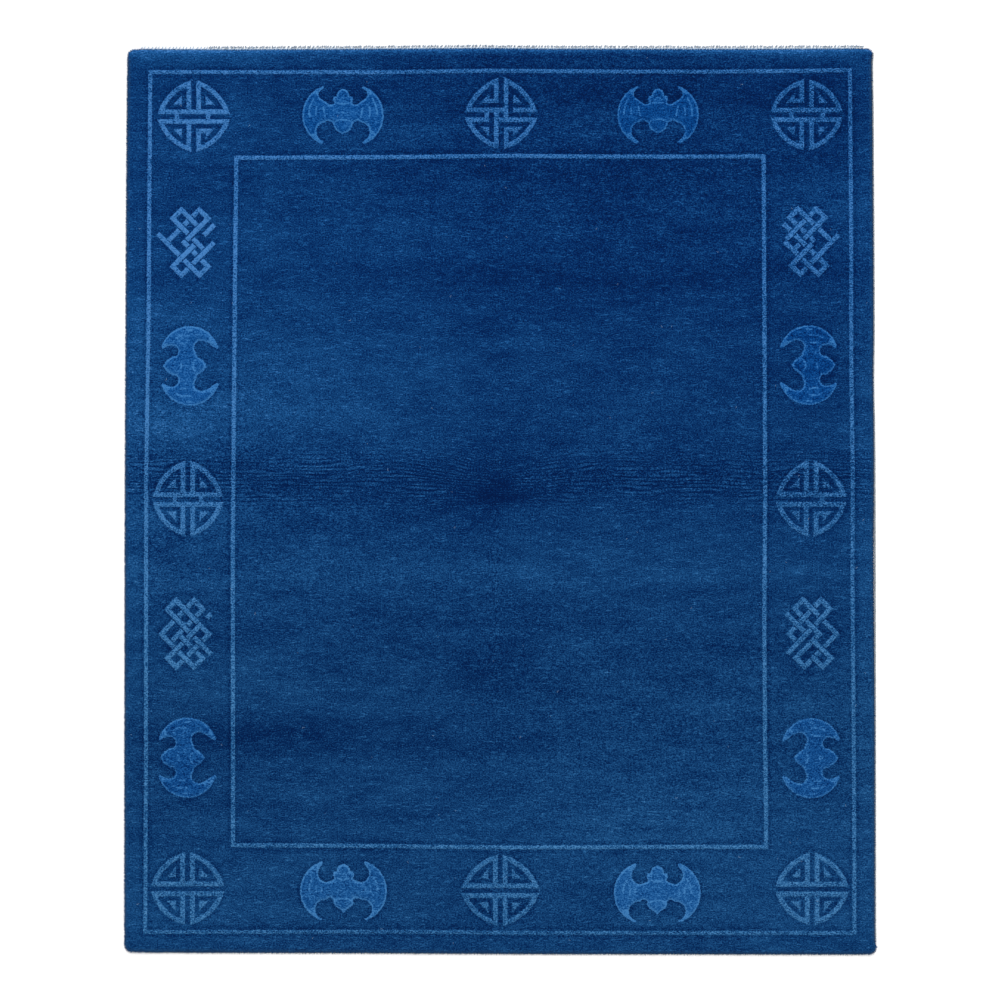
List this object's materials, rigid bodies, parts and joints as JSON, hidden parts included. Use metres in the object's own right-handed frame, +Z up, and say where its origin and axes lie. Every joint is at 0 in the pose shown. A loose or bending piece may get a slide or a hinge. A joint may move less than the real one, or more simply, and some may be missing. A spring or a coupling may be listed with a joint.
{
  "type": "rug",
  "caption": "Flat hand-knotted wool rug with raised frame lines, roundels, bats and endless knots round a plain field, made to cover a floor.",
  "frame": {"origin": "on the floor, under the middle of the rug's outline", "axes": "+Z up out of the pile, +Y along the rug towards the end with the cut warp ends, +X across the rug"},
  "size_m": [2.4452, 2.9648, 0.0152],
  "materials": {
    "blue_wool": "matt cut wool pile",
    "undyed_cotton": "matt twisted cotton"
  },
  "bodies": {
    "root": {"knotted_pile": "blue_wool", "warp_ends_top": "undyed_cotton", "end_web_bottom": "undyed_cotton"}
  },
  "joints": []
}
